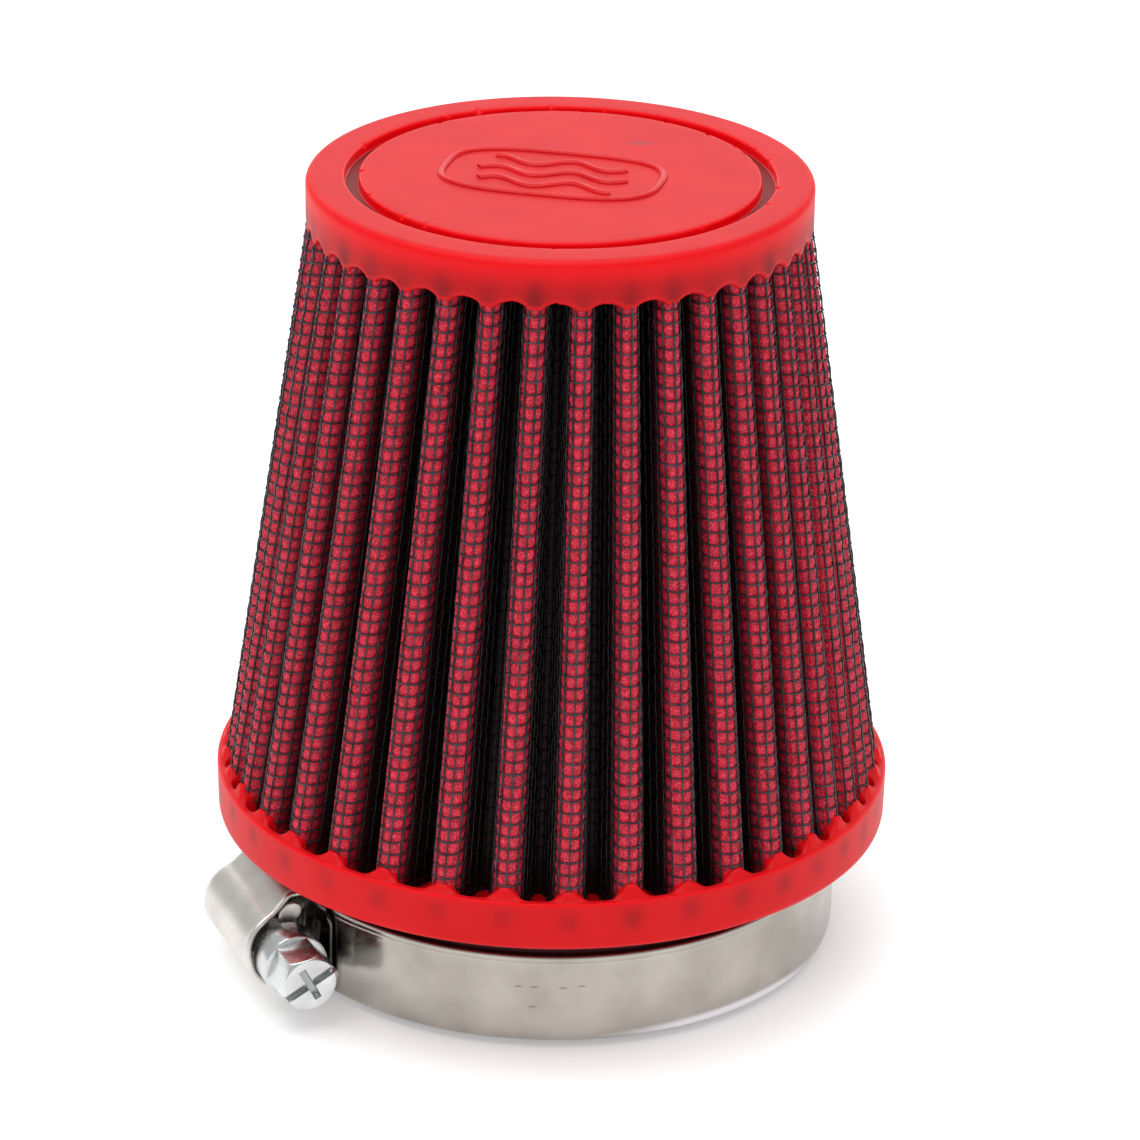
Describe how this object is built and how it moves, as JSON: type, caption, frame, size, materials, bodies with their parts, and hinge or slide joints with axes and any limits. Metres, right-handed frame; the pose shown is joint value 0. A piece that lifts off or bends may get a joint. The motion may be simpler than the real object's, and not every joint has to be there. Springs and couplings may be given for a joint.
{
  "type": "clamp-on air filter",
  "caption": "Conical pleated motorcycle air filter with moulded red ends, wire-backed cotton media and a worm-drive hose clamp on its rubber neck.",
  "frame": {"origin": "on the filter's axis, at the open end of the neck, which it stands on", "axes": "+Z along the axis from the neck to the cap; the clamp's screw is 203 degrees round from +X"},
  "size_m": [0.0881, 0.0866, 0.1026],
  "materials": {
    "red_polyurethane": "satin",
    "red_gauze": "oiled woven cotton",
    "mesh_wire": "epoxy-coated wire",
    "band_steel": "polished",
    "stamped_steel": "satin",
    "zinc_plated_steel": "bright zinc"
  },
  "bodies": {
    "filter": {"top_cap": "red_polyurethane", "base_flange": "red_polyurethane", "outer_mesh": "mesh_wire", "gauze_layer_1": "red_gauze", "gauze_layer_2": "red_gauze", "gauze_layer_3": "red_gauze", "inner_mesh": "mesh_wire", "seam_strip": "stamped_steel"},
    "clamp": {"clamp_band": "band_steel", "clamp_saddle": "stamped_steel", "clamp_housing": "stamped_steel"},
    "band_tail": {"clamp_band_tail": "band_steel"},
    "screw": {"clamp_screw": "zinc_plated_steel"}
  },
  "joints": [
    {"name": "clamp_swivel", "type": "hinge", "parent": "filter", "child": "clamp", "pos_m": [0, 0, 0.0072], "axis": [0, 0, 1], "continuous": true},
    {"name": "screw_turn", "type": "hinge", "parent": "clamp", "child": "screw", "pos_m": [-0.03741, -0.01603, 0.0072], "axis": [-0.3939, 0.9191, 0], "range_deg": [-720, 1020]},
    {"name": "band_feed", "type": "hinge", "parent": "clamp", "child": "band_tail", "pos_m": [0, 0, 0.0072], "axis": [0, 0, 1], "range_deg": [-10, 14]}
  ],
  "couplings": [
    {"joint": "band_feed", "follows": "screw_turn", "ratio": 0.013617}
  ]
}
